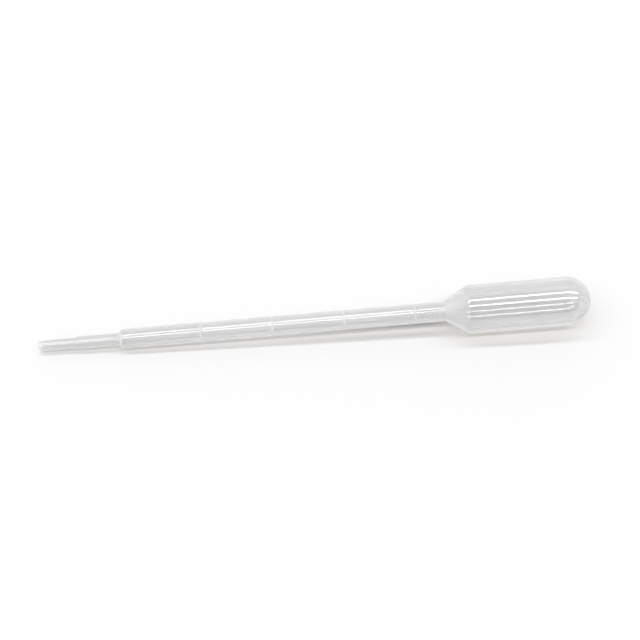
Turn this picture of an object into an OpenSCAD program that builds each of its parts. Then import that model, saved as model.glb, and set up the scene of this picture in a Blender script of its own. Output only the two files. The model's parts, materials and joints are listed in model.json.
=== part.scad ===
// Dropper pipette, blown in one piece from soft polyethylene.
// It lies as it comes to rest on a bench: tip towards -X, bulb towards +X, marks on top.
// The origin is under the middle of its box.

/* [Tip] */
// Outside diameter of the fine tip
tip_d = 3.0; // [2.4:0.1:3.3]
// Length of the fine tip, up to its step
tip_l = 9.8; // [5:0.2:20]
// Wall of the fine tip
tip_wall = 0.5; // [0.35:0.05:0.9]
// Rounding of the cut edges at the mouth
mouth_round = 0.1; // [0.05:0.05:0.15]

/* [Throat] */
// Outside diameter of the throat, between the tip and the stem
throat_d = 3.5; // [3.4:0.1:4.4]
// Length of the throat's straight part
throat_l = 11.4; // [5:0.2:25]
// Wall of the throat
throat_wall = 0.6; // [0.4:0.05:1]
// Slope of the step up from the tip, from the axis
step_slope = 30; // [15:1:60]
// Rounding at both ends of that step
step_round = 0.6; // [0.1:0.1:1.5]
// Slope of the shoulder up to the stem, from the axis
root_slope = 45; // [20:1:60]
// Rounding at both ends of that shoulder
root_round = 0.7; // [0.1:0.1:1.5]

/* [Stem] */
// Outside diameter of the stem
stem_d = 5.4; // [4.6:0.1:8]
// Length of the stem's straight part
stem_l = 87.7; // [60:0.5:140]
// Wall of the stem
stem_wall = 0.75; // [0.5:0.05:1.1]

/* [Bulb] */
// Outside diameter of the bulb
bulb_d = 13.1; // [9:0.1:20]
// Length of the bulb's straight part
barrel_l = 26.8; // [10:0.2:60]
// Wall of the bulb
bulb_wall = 0.7; // [0.5:0.05:1.1]
// Slope of the shoulder up to the bulb, from the axis
shoulder_slope = 31.5; // [20:0.5:50]
// Rounding where the stem meets that shoulder
neck_round = 0.8; // [0.2:0.1:3]
// Rounding where the shoulder meets the barrel
shoulder_round = 2; // [0.5:0.1:4]

/* [Marks] */
// Number of graduation ribs
mark_count = 4; // [2:1:8]
// Length of bare stem below the first rib
bare_below = 21.4; // [4:0.2:25]
// Length of bare stem above the last rib
bare_above = 8.1; // [4:0.1:25]
// Width of a rib at its foot
mark_w = 0.6; // [0.3:0.05:1]
// Height of a rib above the stem
mark_h = 0.18; // [0.1:0.02:0.4]
// How far round the stem a rib goes, in degrees
mark_sweep = 96; // [40:2:150]
// Turn of the marked side, from straight up towards the front, in degrees
mark_turn = 10; // [0:1:40]

/* [Parting line] */
// Width of the line that the mould's joint leaves
seam_w = 0.2; // [0.1:0.02:0.3]
// Height of that line
seam_h = 0.03; // [0.02:0.01:0.1]

/* [Hidden] */
$fn = 96;

// Flats in each rounded corner, and in the crown's quarter turn
corner_steps = 6;
crown_steps = 20;
// The most of a side that the rounding of one of its corners may take
corner_share = 0.45;
// Half of the angle past which a corner counts as straight and stays unrounded
nearly_straight = 89.5;
// The shortest that a step in the outline or the bore may be
shortest_step = 0.2;

tip_r = tip_d / 2;
throat_r = throat_d / 2;
stem_r = stem_d / 2;
bulb_r = bulb_d / 2;

// Places along the axis, counted from the mouth
tip_end = tip_l;
throat_start = tip_end + step_run(tip_r, throat_r, step_slope);
throat_end = throat_start + throat_l;
stem_start = throat_end + step_run(throat_r, stem_r, root_slope);
stem_end = stem_start + stem_l;
barrel_start = stem_end + step_run(stem_r, bulb_r, shoulder_slope);
barrel_end = barrel_start + barrel_l;
first_mark = stem_start + bare_below;
mark_pitch = (stem_l - bare_below - bare_above) / (mark_count - 1);

// Length along the axis of the step between two radii
function step_run(r0, r1, slope) = max(abs(r1 - r0) / tan(slope), shortest_step);

function flat(corner) = [corner[0], corner[1]];
function unit(v) = v / norm(v);

// The points of the arc that rounds corner b between its neighbours a and c.
// A corner is [distance from the axis, distance from the mouth, rounding].
function corner_arc(a, b, c) =
    let (
        back = flat(a) - flat(b),
        ahead = flat(c) - flat(b),
        half = acos(max(unit(back) * unit(ahead), -1)) / 2,
        reach = min(b[2] / tan(half), norm(back) * corner_share, norm(ahead) * corner_share),
        centre = flat(b) + unit(unit(back) + unit(ahead)) * reach / cos(half),
        from = flat(b) + unit(back) * reach - centre,
        side = sign(ahead[0] * back[1] - ahead[1] * back[0]),
        turn = side * (180 - 2 * half)
    )
    half > nearly_straight ? [flat(b)] :
    [for (i = [0:corner_steps])
        let (t = turn * i / corner_steps)
        centre + [from[0] * cos(t) - from[1] * sin(t), from[0] * sin(t) + from[1] * cos(t)]];

// A path through the corners, with its two ends kept and every corner between them rounded
function rounded_path(corners) =
    let (last = len(corners) - 1)
    concat(
        [flat(corners[0])],
        [for (i = [1:last - 1]) each corner_arc(corners[i - 1], corners[i], corners[i + 1])],
        [flat(corners[last])]
    );

// The two places where a step in the bore, from radius r0 to r1, starts and ends. Its wall runs
// along the outside's step between x0 and x1.
function bore_step(x0, x1, r0, r1, slope, wall) =
    let (middle = (x0 + x1) / 2 + wall * tan(slope / 2), run = step_run(r0, r1, slope))
    [middle - run / 2, middle + run / 2];

// The quarter turn that closes the bulb
function crown(r) =
    [for (i = [1:crown_steps])
        let (t = 90 * i / crown_steps)
        [r * cos(t), barrel_end + r * sin(t)]];

// The outside, from the mouth to the pole of the crown, moved outwards by grow
function outside(grow) = concat(
    rounded_path([
        [tip_r - tip_wall / 2 + grow, 0],
        [tip_r + grow, 0, mouth_round],
        [tip_r + grow, tip_end, step_round],
        [throat_r + grow, throat_start, step_round],
        [throat_r + grow, throat_end, root_round],
        [stem_r + grow, stem_start, root_round],
        [stem_r + grow, stem_end, neck_round],
        [bulb_r + grow, barrel_start, shoulder_round],
        [bulb_r + grow, barrel_end]
    ]),
    crown(bulb_r + grow)
);

// The inside, from the mouth to the crown, one wall in from the outside
function inside() =
    let (
        tip_bore = tip_r - tip_wall,
        throat_bore = throat_r - throat_wall,
        stem_bore = stem_r - stem_wall,
        bulb_bore = bulb_r - bulb_wall,
        step = bore_step(tip_end, throat_start, tip_bore, throat_bore, step_slope,
            (tip_wall + throat_wall) / 2),
        root = bore_step(throat_end, stem_start, throat_bore, stem_bore, root_slope,
            (throat_wall + stem_wall) / 2),
        shoulder = bore_step(stem_end, barrel_start, stem_bore, bulb_bore, shoulder_slope,
            (stem_wall + bulb_wall) / 2)
    )
    concat(
        rounded_path([
            [tip_r - tip_wall / 2, 0],
            [tip_bore, 0, mouth_round],
            [tip_bore, step[0], step_round],
            [throat_bore, step[1], step_round],
            [throat_bore, root[0], root_round],
            [stem_bore, root[1], root_round],
            [stem_bore, shoulder[0], neck_round],
            [bulb_bore, shoulder[1], shoulder_round],
            [bulb_bore, barrel_end]
        ]),
        crown(bulb_bore)
    );

// At rest it lies on two circles of its outline, one on each side of the stem's middle, with nothing
// below the line that touches both. That line's slope is how far the axis is tilted.
outline = outside(0);
stem_middle = (stem_start + stem_end) / 2;
front = [for (p = outline) if (p[1] < stem_middle) p];
rear = [for (p = outline) if (p[1] > stem_middle) p];
lie_tilt = min([for (p = front) max([for (q = rear) atan2(q[0] - p[0], q[1] - p[1])])]);
mouth_z = max([for (p = outline) p[0] * cos(lie_tilt) - p[1] * sin(lie_tilt)]);
low_x = min([for (p = outline) p[1] * cos(lie_tilt) - p[0] * sin(lie_tilt)]);
high_x = max([for (p = outline) p[1] * cos(lie_tilt) + p[0] * sin(lie_tilt)]);
mouth_x = -(low_x + high_x) / 2;

function backwards(points) = [for (i = [len(points) - 1:-1:1]) points[i]];

// The blown wall, turned about its axis
module wall() {
    rotate_extrude() polygon(concat(outside(0), backwards(inside())));
}

// One raised graduation rib, with its foot sunk into the stem's wall
module mark(x) {
    foot = stem_r - stem_wall / 3;
    top = stem_r + mark_h;
    rotate([0, 0, 180 + mark_turn - mark_sweep / 2])
        rotate_extrude(angle = mark_sweep)
            polygon([
                [foot, x - mark_w / 2],
                [stem_r, x - mark_w / 2],
                [top, x - mark_w / 4],
                [top, x + mark_w / 4],
                [stem_r, x + mark_w / 2],
                [foot, x + mark_w / 2]
            ]);
}

// The line where the mould's two halves met, along both sides and over the crown
module seam() {
    band = concat(outside(seam_h), backwards(outside(-tip_wall / 4)));
    for (side = [90, 270])
        rotate([0, 0, mark_turn + side])
            rotate([90, 0, 0])
                linear_extrude(seam_w, center = true)
                    polygon(band);
}

// Lays the upright pipette down on the bench
module lie_down() {
    translate([mouth_x, 0, mouth_z]) rotate([0, 90 - lie_tilt, 0]) children();
}

module pipette() {
    color([0.93, 0.94, 0.95, 0.8])
        lie_down() {
            wall();
            for (i = [0:mark_count - 1]) mark(first_mark + i * mark_pitch);
            seam();
        }
}

pipette();
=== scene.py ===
import json
import math

import bpy
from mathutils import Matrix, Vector


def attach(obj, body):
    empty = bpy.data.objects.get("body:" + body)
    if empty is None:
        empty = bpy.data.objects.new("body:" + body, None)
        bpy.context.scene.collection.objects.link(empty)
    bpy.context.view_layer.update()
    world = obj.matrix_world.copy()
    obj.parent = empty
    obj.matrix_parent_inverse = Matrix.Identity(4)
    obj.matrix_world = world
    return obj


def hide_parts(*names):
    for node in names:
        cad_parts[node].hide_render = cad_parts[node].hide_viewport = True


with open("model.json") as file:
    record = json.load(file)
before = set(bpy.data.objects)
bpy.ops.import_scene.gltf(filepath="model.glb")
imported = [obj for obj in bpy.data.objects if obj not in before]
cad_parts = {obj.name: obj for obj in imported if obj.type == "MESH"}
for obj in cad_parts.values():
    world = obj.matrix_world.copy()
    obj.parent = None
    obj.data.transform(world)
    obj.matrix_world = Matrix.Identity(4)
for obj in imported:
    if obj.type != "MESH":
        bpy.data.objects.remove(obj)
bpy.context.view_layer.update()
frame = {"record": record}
scene = bpy.context.scene
mm = 0.001
fullWhite = (1.0, 1.0, 1.0, 1.0)
print("frame loaded")


class Link:  # an output of a node, or only the tree to begin with; sums and products add Math nodes
    def __init__(self, tree, socket=None):
        self.tree = tree
        self.socket = socket

    def node(self, kind, settings=None, values=None, out=0):
        made = self.tree.nodes.new(kind)
        for name, value in (settings or {}).items():
            setattr(made, name, value)
        for name, value in (values or {}).items():
            socket = made.inputs[name] if isinstance(name, int) else socketCalled(made, name)
            if isinstance(value, Link):
                self.tree.links.new(value.socket, socket)
            else:
                socket.default_value = value
        return None if out is None else Link(self.tree, made.outputs[out])

    def other(self, name):  # another output of the same node
        return Link(self.tree, self.socket.node.outputs[name])

    def math(self, operation, first, second=0.0):
        return self.node("ShaderNodeMath", {"operation": operation}, {0: first, 1: second})

    def ramp(self, low, high, start=0.0, end=1.0, smooth=False):
        shape = "SMOOTHSTEP" if smooth else "LINEAR"
        sockets = {"Value": self, "From Min": low, "From Max": high, "To Min": start, "To Max": end}
        return self.node("ShaderNodeMapRange", {"interpolation_type": shape}, sockets)

    def __add__(self, other):
        return self.math("ADD", self, other)

    def __sub__(self, other):
        return self.math("SUBTRACT", self, other)

    def __rsub__(self, other):
        return self.math("SUBTRACT", other, self)

    def __mul__(self, other):
        return self.math("MULTIPLY", self, other)

    def __rmul__(self, other):
        return self.math("MULTIPLY", other, self)

    def __truediv__(self, other):
        return self.math("DIVIDE", self, other)


def socketCalled(node, name):
    for socket in node.inputs:
        if socket.identifier == name:
            return socket
    for socket in node.inputs:
        if socket.name == name and socket.enabled:
            return socket
    raise KeyError(f"{node.bl_idname} has no input {name}")


def mixColours(net, share, first, second):
    ends = [colour if isinstance(colour, Link) else (*colour, 1.0) for colour in (first, second)]
    colours = {"Factor_Float": share, "A_Color": ends[0], "B_Color": ends[1]}
    return net.node("ShaderNodeMix", {"data_type": "RGBA"}, colours, out=2)


def newMaterial(name):
    material = bpy.data.materials.new(name)
    material.use_nodes = True
    material.node_tree.nodes.clear()
    return material, Link(material.node_tree)


# Camera
cameraSizes = {
    "lens": 85.0,  # millimetres, like the sensor
    "sensor": 36.0,
    "clip": (0.01, 50.0),  # metres, like the places
    "place": (-0.01406, -0.204131, 0.360573),
    "target": (0.001365, 0.0, 0.005999),
}


def addCamera(sizes):
    data = bpy.data.cameras.new("bench_camera")
    data.lens = sizes["lens"]
    data.sensor_width = sizes["sensor"]
    data.clip_start, data.clip_end = sizes["clip"]
    camera = bpy.data.objects.new("bench_camera", data)
    scene.collection.objects.link(camera)
    camera.location = sizes["place"]
    aim = Vector(sizes["target"]) - Vector(sizes["place"])
    camera.rotation_mode = "QUATERNION"
    camera.rotation_quaternion = aim.to_track_quat("-Z", "Y")
    scene.camera = camera


addCamera(cameraSizes)
scene.view_settings.view_transform = "Standard"
print("camera placed")


# Lights: two long ceiling strips along the pipette, and a dim room with a white wall and bright ends
lightSizes = {
    "distance": 2.6,
    "elevations": (74.3, 103.9),  # from the front of the bench, over the top
    "strength": 6.8,
    "width": 7.1,  # as an angle, seen from the bench
    "halfLength": 50.0,  # as an angle too
    "room": (0.165, 0.16, 0.155),
    "wall": (0.60, 0.60, 0.60),
    "wallTop": 49.0,  # elevation of the wall's upper edge
    "wallSoftness": 0.03,
    "wallSide": (-0.1, 0.25),  # where it fades in, as the backward part of a direction
    "ends": (0.95, 0.95, 0.95),  # bright ends of the room, which show only as reflections
    "leftEnd": (-0.3, -0.5),  # where each fades in, as the sideways part of a direction
    "rightEnd": (0.75, 0.85),
    "leftFoot": (0.0, 0.05),  # its lower and upper edge, as the upward part
    "rightFoot": (0.04, 0.1),
    "rightTop": (0.35, 0.28),
}


def addStrip(name, elevation, sizes):
    distance = sizes["distance"]
    angle = math.radians(elevation)
    data = bpy.data.lights.new(name, "AREA")
    data.shape = "RECTANGLE"
    data.size = 2 * distance * math.tan(math.radians(sizes["halfLength"]))
    data.size_y = 2 * distance * math.tan(math.radians(sizes["width"] / 2))
    data.energy = 4 * sizes["strength"] * data.size * data.size_y  # so strength is the strip's own glow
    lamp = bpy.data.objects.new(name, data)
    scene.collection.objects.link(lamp)
    lamp.location = (0.0, -distance * math.cos(angle), distance * math.sin(angle))
    lamp.rotation_euler = (angle - math.pi / 2, 0.0, 0.0)
    lamp.visible_camera = False


for number, elevation in enumerate(lightSizes["elevations"], 1):
    addStrip(f"ceiling_strip_{number}", elevation, lightSizes)


def lightRoom(sizes):
    world = bpy.data.worlds.new("room")
    world.use_nodes = True
    scene.world = world
    world.node_tree.nodes.clear()
    net = Link(world.node_tree)
    direction = net.node("ShaderNodeTexCoord")
    height = net.node("ShaderNodeSeparateXYZ", None, {0: direction}, out="Z")
    side, depth = height.other("X"), height.other("Y")
    top, softness = math.sin(math.radians(sizes["wallTop"])), sizes["wallSoftness"]
    behind = depth.ramp(*sizes["wallSide"], smooth=True)
    behind = behind * height.ramp(top - softness, top + softness, 1.0, 0.0, smooth=True)
    colour = mixColours(net, behind, sizes["room"], sizes["wall"])
    seen = net.node("ShaderNodeLightPath", None, None, out="Is Camera Ray")
    left = side.ramp(*sizes["leftEnd"]) * height.ramp(*sizes["leftFoot"])
    right = side.ramp(*sizes["rightEnd"]) * height.ramp(*sizes["rightFoot"])
    right = right * height.ramp(*sizes["rightTop"])
    colour = mixColours(net, seen.other("Is Glossy Ray") * (left + right), colour, sizes["ends"])
    glow = net.node("ShaderNodeBackground", None, {"Color": colour, "Strength": 1.0})
    white = net.node("ShaderNodeBackground", None, {"Color": fullWhite, "Strength": 1.0})
    mixed = net.node("ShaderNodeMixShader", None, {0: seen, 1: glow, 2: white})
    net.node("ShaderNodeOutputWorld", None, {"Surface": mixed}, out=None)


lightRoom(lightSizes)
print("lights set")


# Bench
benchSizes = {
    "halfSide": 6.0,
    "colour": (0.94, 0.94, 0.945),
    "fade": (0.3, 0.6),  # how far from the middle it turns into the white background
}


def addBench(sizes):
    half = sizes["halfSide"]
    mesh = bpy.data.meshes.new("bench")
    corners = [(-half, -half, 0.0), (half, -half, 0.0), (half, half, 0.0), (-half, half, 0.0)]
    mesh.from_pydata(corners, [], [(0, 1, 2, 3)])
    bench = bpy.data.objects.new("bench", mesh)
    scene.collection.objects.link(bench)
    material, net = newMaterial("bench_white")
    matt = net.node("ShaderNodeBsdfDiffuse", None, {"Color": (*sizes["colour"], 1.0)})
    white = net.node("ShaderNodeEmission", None, {"Color": fullWhite, "Strength": 1.0})
    place = net.node("ShaderNodeTexCoord", None, None, out="Object")
    away = net.node("ShaderNodeVectorMath", {"operation": "LENGTH"}, {0: place}, out="Value")
    faded = away.ramp(*sizes["fade"]) * net.node("ShaderNodeLightPath", None, None, out="Is Camera Ray")
    surface = net.node("ShaderNodeMixShader", None, {0: faded, 1: matt, 2: white})
    net.node("ShaderNodeOutputMaterial", None, {"Surface": surface}, out=None)
    mesh.materials.append(material)


addBench(benchSizes)
print("bench laid")


# Milky polyethylene, clear enough to show the far wall. The outer skin carries the haze.
plasticSizes = {
    "clearColour": (0.87, 0.87, 0.87),
    "milkColour": (0.757, 0.768, 0.808),
    "cloudColour": (0.737, 0.749, 0.794),
    "slimColour": (0.816, 0.827, 0.866),  # of the stem and tip
    "thickAndGlintColour": (0.96, 0.967, 0.985),  # of the ribs, which are thicker plastic, and a painted highlight ring at the root of the stem
    "paintedBenchLightColour": (0.876, 0.884, 0.915),  # painted light: the bulb's underside made lighter, as if the bench lit it
    # the same painted bench light, on the stem and tip
    "slimPaintedBenchLightColour": (0.852, 0.86, 0.893),
    "boreColour": (0.96, 0.96, 0.96),
    "milk": 0.31,  # share of the skin that is milky where it faces the eye
    "edgeMilk": 0.92,  # and at a glance, where the way through the wall is long
    "glance": (0.3, 0.7),  # where one turns into the other
    "slimMilk": 0.15,  # more of it on the stem and tip, where the bore is narrow
    # more milk on the ribs and on the painted highlight ring
    "thickAndGlintMilk": 0.6,
    "through": 0.68,  # share of the milky part that light comes through
    "roughness": 0.04,
    "roughnessSpan": (0.8, 1.3),  # share of it in the smoothest streaks, and in the roughest
    "streakScale": (30.0, 600.0, 600.0),  # of the fine drawing marks along the pipette
    "streakDetail": 3.0,
    "streakRange": (0.3, 0.7),  # of the noise that makes them
    "cloudScale": 260.0,
    "cloudDetail": 4.0,
    "cloudRange": (0.35, 0.7),
    "index": 1.51,
    "gloss": 1.0,
    "drawnShine": 0.08,  # share of the stem's and tip's drawn skin that shines in lines along them
    "drawnRoughness": 0.19,
    "boreIndex": 2.6,  # of the shine inside
}

# How lamp light goes straight through, in place of bending: a tube's middle stays light and its rim dark
passageSizes = {
    "skin": (0.606, 0.601, 0.59),  # lamp light that one way through the skin lets by
    "softSkin": (0.506, 0.501, 0.49),  # and light that comes from all sides
    "bore": (1.675, 1.67, 1.662),  # what the bore gives back, because only the rim bends light away
    "wideSkinLoss": 0.163,  # share of the lamp light that the bulb's skin keeps back
    "slimBoreLoss": 0.168,  # and that a narrow bore keeps back
    "slimLoss": (0.13, 0.52),  # more of it off the narrow bore's middle, towards the tip and at the neck
    "slimLossRun": (-0.015, 0.025),  # where along the stem one turns into the other
    "slimEdge": (0.0, 0.45),  # from the bore's middle to where the loss is full
    "wideLoss": 0.1,  # and off the bulb's middle
    "wideEdge": (0.1, 0.56),
}


def finishSurface(net, plastic, lampPassed, softPassed, share):
    lampWay = net.node("ShaderNodeBsdfTransparent", None, {"Color": (*lampPassed, 1.0)})
    softWay = net.node("ShaderNodeBsdfTransparent", None, {"Color": (*softPassed, 1.0)})
    forShadow = net.node("ShaderNodeLightPath", None, None, out="Is Shadow Ray")
    bounced = {0: forShadow.other("Is Diffuse Ray"), 1: plastic, 2: softWay}
    bounced = net.node("ShaderNodeMixShader", None, bounced)
    surface = net.node("ShaderNodeMixShader", None, {0: forShadow * share, 1: bounced, 2: lampWay})
    net.node("ShaderNodeOutputMaterial", None, {"Surface": surface}, out=None)


def readMark(net, name):
    return net.node("ShaderNodeAttribute", {"attribute_name": name}, None, out="Fac")


def turnedAway(net):  # none where the surface is met straight on, and full at a glance
    return net.node("ShaderNodeLayerWeight", None, {"Blend": 0.5}, out="Facing")


def clearPlastic(net, colour, roughness, sizes, more=None):
    values = {
        "Base Color": (*colour, 1.0),
        "Roughness": roughness,
        "IOR": sizes["index"],
        "Transmission Weight": 1.0,
        "Specular IOR Level": sizes["gloss"],
    }
    return net.node("ShaderNodeBsdfPrincipled", None, {**values, **(more or {})})


def addDrawnShine(net, plastic, share, roughness):  # blurred along the stem and sharp across it
    lengthways = {"vector_type": "VECTOR", "convert_from": "OBJECT", "convert_to": "WORLD"}
    values = {
        "Base Color": fullWhite,
        "Metallic": 1.0,
        "Roughness": roughness,
        "Anisotropic": 1.0,
        "Tangent": net.node("ShaderNodeVectorTransform", lengthways, {"Vector": (1.0, 0.0, 0.0)}),
    }
    shine = net.node("ShaderNodeBsdfPrincipled", None, values)
    return net.node("ShaderNodeMixShader", None, {0: share, 1: plastic, 2: shine})


def skinPlastic(sizes, passage):
    material, net = newMaterial("milky_polyethylene")
    place = net.node("ShaderNodeTexCoord", None, None, out="Object")
    drawn = net.node("ShaderNodeMapping", None, {"Vector": place, "Scale": sizes["streakScale"]})
    streaks = {"Vector": drawn, "Scale": 1.0, "Detail": sizes["streakDetail"]}
    span = [sizes["roughness"] * share for share in sizes["roughnessSpan"]]
    roughness = net.node("ShaderNodeTexNoise", None, streaks).ramp(*sizes["streakRange"], *span)
    clouds = {"Vector": place, "Scale": sizes["cloudScale"], "Detail": sizes["cloudDetail"]}
    cloudy = net.node("ShaderNodeTexNoise", None, clouds).ramp(*sizes["cloudRange"], smooth=True)
    # Marks read here: ribs of thicker plastic plus a painted highlight ring at the root of the stem, and
    # painted bench light on the underside
    thick, slim, under = (readMark(net, name) for name in ("thick", "slim", "under"))

    hazy = mixColours(net, cloudy, sizes["milkColour"], sizes["cloudColour"])
    colour = mixColours(net, slim, hazy, sizes["slimColour"])
    # Painted light: a lighter colour on the underside, as if lit from the bench
    lit = mixColours(net, slim, sizes["paintedBenchLightColour"], sizes["slimPaintedBenchLightColour"])
    colour = mixColours(net, under, colour, lit)
    # Pale ribs, and the painted highlight ring at the root of the stem
    colour = mixColours(net, thick, colour, sizes["thickAndGlintColour"])
    values = {
        "Base Color": colour,
        "Roughness": roughness,
        "IOR": sizes["index"],
        "Specular IOR Level": sizes["gloss"],
    }
    front = net.node("ShaderNodeBsdfPrincipled", None, values)
    behind = net.node("ShaderNodeBsdfTranslucent", None, {"Color": colour})
    milky = net.node("ShaderNodeMixShader", None, {0: sizes["through"], 1: front, 2: behind})

    clear = clearPlastic(net, sizes["clearColour"], roughness, sizes)
    milk = turnedAway(net).ramp(*sizes["glance"], sizes["milk"], sizes["edgeMilk"], smooth=True)
    milk = milk + thick * sizes["thickAndGlintMilk"] + slim * sizes["slimMilk"]
    milk = net.math("MINIMUM", milk, 1.0)
    plastic = net.node("ShaderNodeMixShader", None, {0: milk, 1: clear, 2: milky})
    plastic = addDrawnShine(net, plastic, slim * sizes["drawnShine"], sizes["drawnRoughness"])
    share = slim.ramp(0.0, 1.0, 1.0 - passage["wideSkinLoss"], 1.0)
    finishSurface(net, plastic, passage["skin"], passage["softSkin"], share)
    return material


def borePlastic(sizes, passage):
    material, net = newMaterial("bore_polyethylene")
    shine = {"Coat Weight": 1.0, "Coat Roughness": sizes["roughness"], "Coat IOR": sizes["boreIndex"]}
    plastic = clearPlastic(net, sizes["boreColour"], sizes["roughness"], sizes, shine)
    offMiddle = turnedAway(net)
    place = net.node("ShaderNodeTexCoord", None, None, out="Object")
    along = net.node("ShaderNodeSeparateXYZ", None, {0: place})
    slim = readMark(net, "slim")
    slimLoss = along.ramp(*passage["slimLossRun"], *passage["slimLoss"])
    slimLoss = offMiddle.ramp(*passage["slimEdge"]) * slimLoss + passage["slimBoreLoss"]
    wideLoss = offMiddle.ramp(*passage["wideEdge"], 0.0, passage["wideLoss"])
    share = 1.0 - slimLoss * slim - wideLoss * (1.0 - slim)
    finishSurface(net, plastic, passage["bore"], passage["bore"], share)
    return material


skin = skinPlastic(plasticSizes, passageSizes)
bore = borePlastic(plasticSizes, passageSizes)
print("plastic mixed")


# Body: one blown wall from the crown to the mouth and back up the bore
bodySizes = {  # millimetres and degrees
    "tipRadius": 1.5,
    "tipLength": 9.8,
    "tipWall": 0.5,
    "mouthRounding": 0.1,
    "throatRadius": 1.75,
    "throatLength": 11.4,
    "throatWall": 0.6,
    "stepSlope": 30.0,
    "stepRounding": 0.6,
    "rootSlope": 45.0,
    "rootRounding": 0.7,
    "stemRadius": 2.7,
    "stemLength": 87.7,
    "stemWall": 0.75,
    "bulbRadius": 6.55,
    "barrelLength": 26.8,
    "bulbWall": 0.7,
    "shoulderSlope": 31.5,
    "neckRounding": 0.8,
    "shoulderRounding": 2.0,
    "cornerCuts": 8,
    "crownCuts": 24,
    "plainStep": 2.0,  # between rings where nothing is raised
    "fineStep": 0.075,  # between rings at the ribs and letters
    "markedCells": 96,  # faces round the half of the wall that carries the marks
    "plainCells": 92,
    "lineCells": 3,  # faces across each parting line, of which the middle one is raised
    "merge": 0.002,  # points nearer than this become one, which closes the wall
}
markSizes = {  # millimetres and degrees
    "count": 4,
    "bareBelow": 21.4,
    "bareAbove": 8.1,
    "width": 0.6,
    "height": 0.18,
    "sweep": 96.0,
    "turn": 10.0,  # of the marked side, from straight up towards the front
    "softEnd": 5.0,
    "slope": (0.14, 0.5),  # from a rib's flat top to its foot, in widths from its middle
    "margin": 0.15,  # of fine rings past a rib's foot
    "joinGap": 0.5,  # stretches of fine rings nearer than this become one
    "letterHeight": 0.06,
    "letterWidth": 0.34,
    "letterSlope": (0.15, 0.5),
    "letterSize": 2.4,
    "letterGap": 0.24,  # in letter heights
    "letterMiddle": 40.0,  # from the middle of the marked side towards the front
    "lineWidth": 0.2,  # parting line
    "lineHeight": 0.03,
    "lineTurn": 0.35,  # most that half of it may turn near the poles, in radians
}
shadeSizes = {  # where the plastic looks different, some of it painted light
    "rib": (0.25, 0.45),  # pale, the ribs being thicker plastic, in widths from the rib's middle
    "rootGlintPlace": 0.65,  # where the painted highlight ring sits on the shoulder at the root of the stem, from the throat
    "rim": (0.15, 0.4),  # and how far that painted highlight reaches, in millimetres
    "under": (0.02, -0.1),  # upward part of the outward direction, from no painted bench light to full
    "slimPaintedBenchLight": 0.3,  # how much higher that begins on the stem and tip
}


def rise(sizes, low, high, slope):
    return (sizes[high] - sizes[low]) / math.tan(math.radians(sizes[slope]))


def axisPlaces(sizes, marks):  # along the axis, from the mouth
    places = {"tipEnd": sizes["tipLength"]}
    places["throatStart"] = places["tipEnd"] + rise(sizes, "tipRadius", "throatRadius", "stepSlope")
    places["throatEnd"] = places["throatStart"] + sizes["throatLength"]
    places["stemStart"] = places["throatEnd"] + rise(sizes, "throatRadius", "stemRadius", "rootSlope")
    places["stemEnd"] = places["stemStart"] + sizes["stemLength"]
    places["barrelStart"] = places["stemEnd"] + rise(sizes, "stemRadius", "bulbRadius", "shoulderSlope")
    places["barrelEnd"] = places["barrelStart"] + sizes["barrelLength"]
    places["firstRib"] = places["stemStart"] + marks["bareBelow"]
    ribbed = sizes["stemLength"] - marks["bareBelow"] - marks["bareAbove"]
    places["ribPitch"] = ribbed / (marks["count"] - 1)
    return places


def boreStep(sizes, places, start, end, low, high, slope):
    wall = (sizes[low + "Wall"] + sizes[high + "Wall"]) / 2
    middle = (places[start] + places[end]) / 2 + wall * math.tan(math.radians(sizes[slope]) / 2)
    lowBore = sizes[low + "Radius"] - sizes[low + "Wall"]
    highBore = sizes[high + "Radius"] - sizes[high + "Wall"]
    half = (highBore - lowBore) / math.tan(math.radians(sizes[slope])) / 2
    return (lowBore, middle - half), (highBore, middle + half)


def fineStretches(marks, places, letters):
    ribs = [places["firstRib"] + number * places["ribPitch"] for number in range(marks["count"])]
    margin = marks["width"] / 2 + marks["margin"]
    stretches = [(rib - margin, rib + margin) for rib in ribs]
    for start, end in letters:
        stretches.append((start - marks["letterWidth"], end + marks["letterWidth"]))
    merged = []
    for start, end in sorted(stretches):
        if merged and start < merged[-1][1] + marks["joinGap"]:
            merged[-1] = (merged[-1][0], max(end, merged[-1][1]))
        else:
            merged.append((start, end))
    return merged


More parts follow.
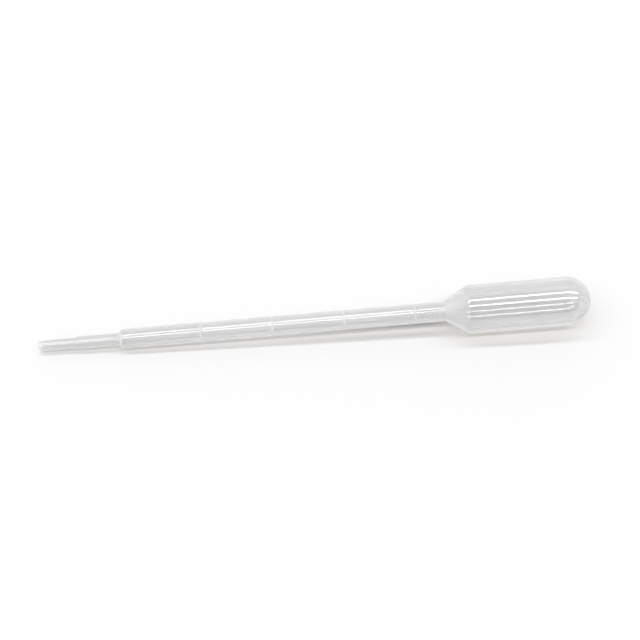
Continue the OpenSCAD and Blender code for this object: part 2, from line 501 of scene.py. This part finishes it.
def sectionCorners(sizes, places, stretches):  # radius, place along, rounding, cuts, step, outside
    cuts, plain, fine = sizes["cornerCuts"], sizes["plainStep"], sizes["fineStep"]
    bulb, stem, throat, tip = (sizes[part + "Radius"] for part in ("bulb", "stem", "throat", "tip"))
    end = places["barrelEnd"]
    corners = [
        (0.0, end + bulb, 0.0, 1, plain, 1.0),
        (bulb, end + bulb, bulb, sizes["crownCuts"], plain, 1.0),
        (bulb, places["barrelStart"], sizes["shoulderRounding"], cuts, plain, 1.0),
        (stem, places["stemEnd"], sizes["neckRounding"], cuts, plain, 1.0),
    ]
    for low, high in reversed(stretches):
        corners.append((stem, high, 0.0, 1, fine, 1.0))
        corners.append((stem, low, 0.0, 1, plain, 1.0))
    corners += [
        (stem, places["stemStart"], sizes["rootRounding"], cuts, plain, 1.0),
        (throat, places["throatEnd"], sizes["rootRounding"], cuts, plain, 1.0),
        (throat, places["throatStart"], sizes["stepRounding"], cuts, plain, 1.0),
        (tip, places["tipEnd"], sizes["stepRounding"], cuts, plain, 1.0),
        (tip, 0.0, sizes["mouthRounding"], cuts, plain, 1.0),
        (tip - sizes["tipWall"], 0.0, sizes["mouthRounding"], cuts, plain, 0.0),
    ]
    steps = (
        ("tipEnd", "throatStart", "tip", "throat", "stepSlope", "stepRounding", "stepRounding"),
        ("throatEnd", "stemStart", "throat", "stem", "rootSlope", "rootRounding", "rootRounding"),
        ("stemEnd", "barrelStart", "stem", "bulb", "shoulderSlope", "neckRounding", "shoulderRounding"),
    )
    for first, last, low, high, slope, lowRounding, highRounding in steps:
        lower, upper = boreStep(sizes, places, first, last, low, high, slope)
        corners.append((*lower, sizes[lowRounding], cuts, plain, 0.0))
        corners.append((*upper, sizes[highRounding], cuts, plain, 0.0))
    bore = bulb - sizes["bulbWall"]
    corners.append((bore, end + bore, bore, sizes["crownCuts"], plain, 0.0))
    corners.append((0.0, end + bore, 0.0, 1, plain, 0.0))
    return corners


def sectionObject(corners):
    mesh = bpy.data.meshes.new("wall_section")
    points = [(radius * mm, 0.0, along * mm) for radius, along, *_ in corners]
    mesh.from_pydata(points, [(i, i + 1) for i in range(len(points) - 1)], [])
    columns = (
        ("rounding", "FLOAT", 2, mm),
        ("cuts", "INT", 3, 1),
        ("step", "FLOAT", 4, mm),
        ("outside", "FLOAT", 5, 1.0),
    )
    for name, kind, column, unit in columns:
        attribute = mesh.attributes.new(name, kind, "POINT")
        attribute.data.foreach_set("value", [corner[column] * unit for corner in corners])
    section = bpy.data.objects.new("wall_section", mesh)
    scene.collection.objects.link(section)
    return section


# Letters are single strokes, as a round cutter leaves them in a mould: (across, up) in letter heights
def bowl(centre, across, up, start, end, count=14):
    turns = [math.radians(start + (end - start) * i / count) for i in range(count + 1)]
    return [(centre[0] + across * math.cos(t), centre[1] + up * math.sin(t)) for t in turns]


letterStrokes = {
    ".": (0.10, [[(0.0, 0.0), (0.02, 0.0)]]),
    "5": (0.52, [[(0.48, 1.0), (0.09, 1.0), (0.05, 0.56)] + bowl((0.24, 0.32), 0.27, 0.32, 125, -140)]),
    "1": (0.30, [[(0.02, 0.78), (0.28, 1.0), (0.28, 0.0)]]),
    "M": (0.80, [[(0.0, 0.0), (0.0, 1.0), (0.38, 0.30), (0.76, 1.0), (0.76, 0.0)]]),
    "L": (0.50, [[(0.0, 1.0), (0.0, 0.0), (0.46, 0.0)]]),
}
letterLines = (  # text, and where it starts, from the nearest rib's middle
    (".5", 1, -3.0),
    ("1", 3, -2.2),
    ("ML", 3, 1.6),
)


def letterObject(marks, places, stemRadius):
    size, gap = marks["letterSize"], marks["letterGap"]
    foot = math.radians(marks["letterMiddle"]) * stemRadius + size / 2
    points, edges, spans = [], [], []
    for text, rib, offset in letterLines:
        along = places["firstRib"] + rib * places["ribPitch"] + offset
        start = along
        for character in text:
            width, strokes = letterStrokes[character]
            for stroke in strokes:
                first = len(points)
                points += [((along + x * size) * mm, (foot - y * size) * mm, 0.0) for x, y in stroke]
                edges += [(first + i, first + i + 1) for i in range(len(stroke) - 1)]
            along += (width + gap) * size
        spans.append((start, along - gap * size))
    mesh = bpy.data.meshes.new("letter_strokes")
    mesh.from_pydata(points, edges, [])
    letters = bpy.data.objects.new("letter_strokes", mesh)
    scene.collection.objects.link(letters)
    return letters, spans


def addInputs(tree, inputs):
    sockets = {}
    for name, kind in inputs:
        kind = "NodeSocket" + kind
        sockets[name] = tree.interface.new_socket(name=name, in_out="INPUT", socket_type=kind)
    tree.interface.new_socket(name="Geometry", in_out="OUTPUT", socket_type="NodeSocketGeometry")
    return sockets


wallInputs = (
    ("Section", "Geometry"),
    ("Marked cells", "Int"),
    ("Plain cells", "Int"),
    ("Line cells", "Int"),
    ("Line width", "Float"),
    ("Line height", "Float"),
    ("Line turn", "Float"),
    ("Rib count", "Int"),
    ("First rib", "Float"),
    ("Rib pitch", "Float"),
    ("Rib width", "Float"),
    ("Rib height", "Float"),
    ("Rib sweep", "Float"),
    ("Rib soft end", "Float"),
    ("Marked side", "Float"),
    ("Stem radius", "Float"),
    ("Root glint", "Float"),
    ("Stem end", "Float"),
    ("Barrel start", "Float"),
    ("Letters", "Object"),
    ("Letter width", "Float"),
    ("Letter height", "Float"),
    ("Merge distance", "Float"),
    ("Mouth", "Vector"),
    ("Tilt", "Float"),
    ("Skin", "Material"),
    ("Bore", "Material"),
)


def named(net, name, kind="FLOAT"):
    return net.node("GeometryNodeInputNamedAttribute", {"data_type": kind}, {"Name": name})


def stored(net, sheet, name, value):
    asked = {"Geometry": sheet, "Name": name, "Value": value}
    return net.node("GeometryNodeStoreNamedAttribute", {"data_type": "FLOAT", "domain": "POINT"}, asked)


def ringPath(net, section):  # the section, with its corners rounded and its straight runs cut into rings
    path = net.node("GeometryNodeMeshToCurve", None, {"Mesh": section})
    rounding = {"Curve": path, "Count": named(net, "cuts", "INT"), "Radius": named(net, "rounding")}
    path = net.node("GeometryNodeFilletCurve", {"mode": "POLY"}, rounding)
    place = net.node("GeometryNodeInputPosition")
    following = net.node("GeometryNodeOffsetPointInCurve", None, {"Offset": 1}, out="Point Index")
    there = {"Value": place, "Index": following}
    there = net.node("GeometryNodeFieldAtIndex", {"data_type": "FLOAT_VECTOR"}, there)
    run = net.node("ShaderNodeVectorMath", {"operation": "DISTANCE"}, {0: place, 1: there}, out="Value")
    cuts = net.math("CEIL", run / named(net, "step") - 0.01) - 1.0
    cuts = net.math("MAXIMUM", cuts, 0.0)
    return net.node("GeometryNodeSubdivideCurve", None, {"Curve": path, "Cuts": cuts})


def columnTurn(net, given, column, radius):  # from the middle of the marked side
    marked, plain, strip = (given[name] for name in ("Marked cells", "Plain cells", "Line cells"))
    half = given["Line width"] / 2.0 / net.math("MAXIMUM", radius, 1e-6)
    half = net.math("MINIMUM", half, given["Line turn"])
    wide = math.pi - 2.0 * half
    turn = half - math.pi / 2
    turn = turn + column.ramp(0.0, marked, 0.0, wide)
    turn = turn + column.ramp(marked, marked + strip, 0.0, 2.0 * half)
    turn = turn + column.ramp(marked + strip, marked + plain + strip, 0.0, wide)
    return turn + column.ramp(marked + plain + strip, marked + plain + 2.0 * strip, 0.0, 2.0 * half)


def offRib(net, given, along):  # distance from the nearest rib's middle
    nearest = net.math("ROUND", (along - given["First rib"]) / given["Rib pitch"])
    nearest = net.math("MAXIMUM", net.math("MINIMUM", nearest, given["Rib count"] - 1.0), 0.0)
    return net.math("ABSOLUTE", along - given["First rib"] - nearest * given["Rib pitch"])


def letterLift(net, given, along, turn, slope):  # from the distance to a stroke in the unrolled wall
    letters = net.node("GeometryNodeObjectInfo", None, {"Object": given["Letters"]}, out="Geometry")
    unrolled = net.node("ShaderNodeCombineXYZ", None, {"X": along, "Y": turn * given["Stem radius"]})
    asked = {"Target": letters, "Source Position": unrolled}
    away = net.node("GeometryNodeProximity", {"target_element": "EDGES"}, asked, out="Distance")
    top, foot = (given["Letter width"] * share for share in slope)
    return away.ramp(top, foot, 1.0, 0.0, smooth=True) * given["Letter height"]


def besideMiddle(net, column, middle):  # the two columns on both sides of it
    return net.node("ShaderNodeMath", {"operation": "COMPARE"}, {0: column, 1: middle, 2: 0.6})


def lineLift(net, given, column, radius):
    marked, plain, strip = (given[name] for name in ("Marked cells", "Plain cells", "Line cells"))
    first = besideMiddle(net, column, marked + strip / 2.0)
    second = besideMiddle(net, column, marked + plain + strip * 1.5)
    pole = radius.ramp(0.0, 0.00001, 1.0, 0.0)  # where both lines cross, one point for all columns
    return net.math("MAXIMUM", first + second, pole) * given["Line height"]


def laidDown(net, given, body):  # on the bench, with the skin outside and the bore inside
    turned = net.node("ShaderNodeCombineXYZ", None, {"Y": 0.0 - given["Tilt"]})
    laid = {"Geometry": body, "Translation": given["Mouth"], "Rotation": turned}
    body = net.node("GeometryNodeTransform", None, laid)
    body = net.node("GeometryNodeSetShadeSmooth", None, {"Geometry": body})
    body = net.node("GeometryNodeRealizeInstances", None, {"Geometry": body})
    body = net.node("GeometryNodeSetMaterial", None, {"Geometry": body, "Material": given["Bore"]})
    outer = net.math("GREATER_THAN", named(net, "outside"), 0.5)
    skinned = {"Geometry": body, "Selection": outer, "Material": given["Skin"]}
    return net.node("GeometryNodeSetMaterial", None, skinned)


def wallTree(marks, shades):
    tree = bpy.data.node_groups.new("blown_wall", "GeometryNodeTree")
    sockets = addInputs(tree, wallInputs)
    net = Link(tree)
    start = tree.nodes.new("NodeGroupInput")
    given = {name: Link(tree, start.outputs[name]) for name, _ in wallInputs}

    # A sheet of one row for each ring, with its last column laid on its first
    path = ringPath(net, given["Section"])
    rings = {"component": "CURVE"}
    rings = net.node("GeometryNodeAttributeDomainSize", rings, {"Geometry": path}, out="Point Count")
    columns = given["Marked cells"] + given["Plain cells"] + given["Line cells"] * 2.0 + 1.0
    sheet = net.node("GeometryNodeMeshGrid", None, {"Vertices X": rings, "Vertices Y": columns})
    index = net.node("GeometryNodeInputIndex")
    ring = net.math("FLOOR", (index + 0.5) / columns)
    column = index - ring * columns

    def fromRing(value, kind="FLOAT_VECTOR"):
        asked = {"Geometry": path, "Value": value, "Index": ring}
        return net.node("GeometryNodeSampleIndex", {"data_type": kind}, asked)

    radius = net.node("ShaderNodeSeparateXYZ", None, {0: fromRing(net.node("GeometryNodeInputPosition"))})
    along = radius.other("Z")
    outAlong = net.node("ShaderNodeSeparateXYZ", None, {0: fromRing(net.node("GeometryNodeInputTangent"))})
    outRadial = 0.0 - outAlong.other("Z")
    outside = fromRing(named(net, "outside"), "FLOAT")
    turn = columnTurn(net, given, column, radius)

    # What is raised: ribs, letters and the parting line
    off = offRib(net, given, along)
    top, foot = (given["Rib width"] * share for share in marks["slope"])
    sweepEnd = given["Rib sweep"] / 2.0
    sweepSoft = sweepEnd - given["Rib soft end"]
    around = net.math("ABSOLUTE", turn).ramp(sweepSoft, sweepEnd, 1.0, 0.0, smooth=True)
    ribs = off.ramp(top, foot, 1.0, 0.0, smooth=True) * around * given["Rib height"]
    raised = net.math("MAXIMUM", ribs, letterLift(net, given, along, turn, marks["letterSlope"]))
    raised = net.math("MAXIMUM", raised, lineLift(net, given, column, radius)) * outside

    # Marks that the materials read: thicker ribs, a painted highlight, and painted bench light
    elevation = math.pi / 2 - given["Marked side"] - turn
    lift = net.math("SINE", elevation)
    # A painted highlight: a pale ring at the root of the stem, kept in one mark with the ribs
    fromGlint = net.math("ABSOLUTE", along - given["Root glint"])
    rim = fromGlint.ramp(*(reach * mm for reach in shades["rim"]), 1.0, 0.0, smooth=True)
    full, none = (given["Rib width"] * share for share in shades["rib"])
    thick = net.math("MAXIMUM", off.ramp(full, none, 1.0, 0.0) * around, rim)
    slim = along.ramp(given["Stem end"], given["Barrel start"], 1.0, 0.0)
    # Painted light: the outer skin's underside is lightened as if the bench lit it
    under = (lift * outRadial - slim * shades["slimPaintedBenchLight"]).ramp(*shades["under"], smooth=True)
    sheet = stored(net, sheet, "outside", outside)
    sheet = stored(net, sheet, "thick", thick * outside)
    sheet = stored(net, sheet, "slim", slim)
    sheet = stored(net, sheet, "under", under * outside)

    # The sheet rolled into the wall
    radius = radius + raised * outRadial
    along = along + raised * outAlong
    front = 0.0 - radius * net.math("COSINE", elevation)
    position = net.node("ShaderNodeCombineXYZ", None, {"X": along, "Y": front, "Z": radius * lift})
    body = net.node("GeometryNodeSetPosition", None, {"Geometry": sheet, "Position": position})
    merging = {"Geometry": body, "Distance": given["Merge distance"]}
    body = net.node("GeometryNodeMergeByDistance", None, merging)
    body = laidDown(net, given, body)
    end = tree.nodes.new("NodeGroupOutput")
    tree.links.new(body.socket, end.inputs["Geometry"])
    return tree, sockets


def restingLine(record, rounding):  # the axis at rest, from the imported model's own mount on the tip
    tip = next(mount for mount in record["mounts"] if mount["name"] == "tip")
    axis = -Vector(tip["axis"])
    mouth = Vector(tip["pos_m"]) - axis * (tip["dims"]["length_mm"] / 2 + rounding) * mm
    return mouth, math.atan2(axis.z, axis.x)


def plainMesh(source, name):
    bpy.context.view_layer.update()
    evaluated = source.evaluated_get(bpy.context.evaluated_depsgraph_get())
    mesh = bpy.data.meshes.new_from_object(evaluated)
    mesh.name = name
    made = bpy.data.objects.new(name, mesh)
    scene.collection.objects.link(made)
    source.modifiers.clear()
    bpy.data.objects.remove(source)
    return made


def buildBody(sizes, marks, shades):
    places = axisPlaces(sizes, marks)
    # where the painted highlight ring goes, between the throat and the stem
    rootGlintAt = places["stemStart"] * shades["rootGlintPlace"] + places["throatEnd"] * (1.0 - shades["rootGlintPlace"])
    letters, spans = letterObject(marks, places, sizes["stemRadius"])
    stretches = fineStretches(marks, places, spans)
    section = sectionObject(sectionCorners(sizes, places, stretches))
    mouth, tilt = restingLine(frame["record"], sizes["mouthRounding"])
    tree, sockets = wallTree(marks, shades)
    modifier = section.modifiers.new("blown_wall", "NODES")
    modifier.node_group = tree
    values = {
        "Marked cells": sizes["markedCells"],
        "Plain cells": sizes["plainCells"],
        "Line cells": sizes["lineCells"],
        "Line width": marks["lineWidth"] * mm,
        "Line height": marks["lineHeight"] * mm,
        "Line turn": marks["lineTurn"],
        "Rib count": marks["count"],
        "First rib": places["firstRib"] * mm,
        "Rib pitch": places["ribPitch"] * mm,
        "Rib width": marks["width"] * mm,
        "Rib height": marks["height"] * mm,
        "Rib sweep": math.radians(marks["sweep"]),
        "Rib soft end": math.radians(marks["softEnd"]),
        "Marked side": math.radians(marks["turn"]),
        "Stem radius": sizes["stemRadius"] * mm,
        "Root glint": rootGlintAt * mm,
        "Stem end": places["stemEnd"] * mm,
        "Barrel start": places["barrelStart"] * mm,
        "Letters": letters,
        "Letter width": marks["letterWidth"] * mm,
        "Letter height": marks["letterHeight"] * mm,
        "Merge distance": sizes["merge"] * mm,
        "Mouth": tuple(mouth),
        "Tilt": tilt,
        "Skin": skin,
        "Bore": bore,
    }
    for name, value in values.items():
        modifier[sockets[name].identifier] = value
    body = plainMesh(section, "pipette_body")
    bpy.data.objects.remove(letters)
    return body


body = buildBody(bodySizes, markSizes, shadeSizes)
print("body blown:", len(body.data.vertices), "points,", len(body.data.polygons), "faces")

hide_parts("pipette")
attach(body, "root")
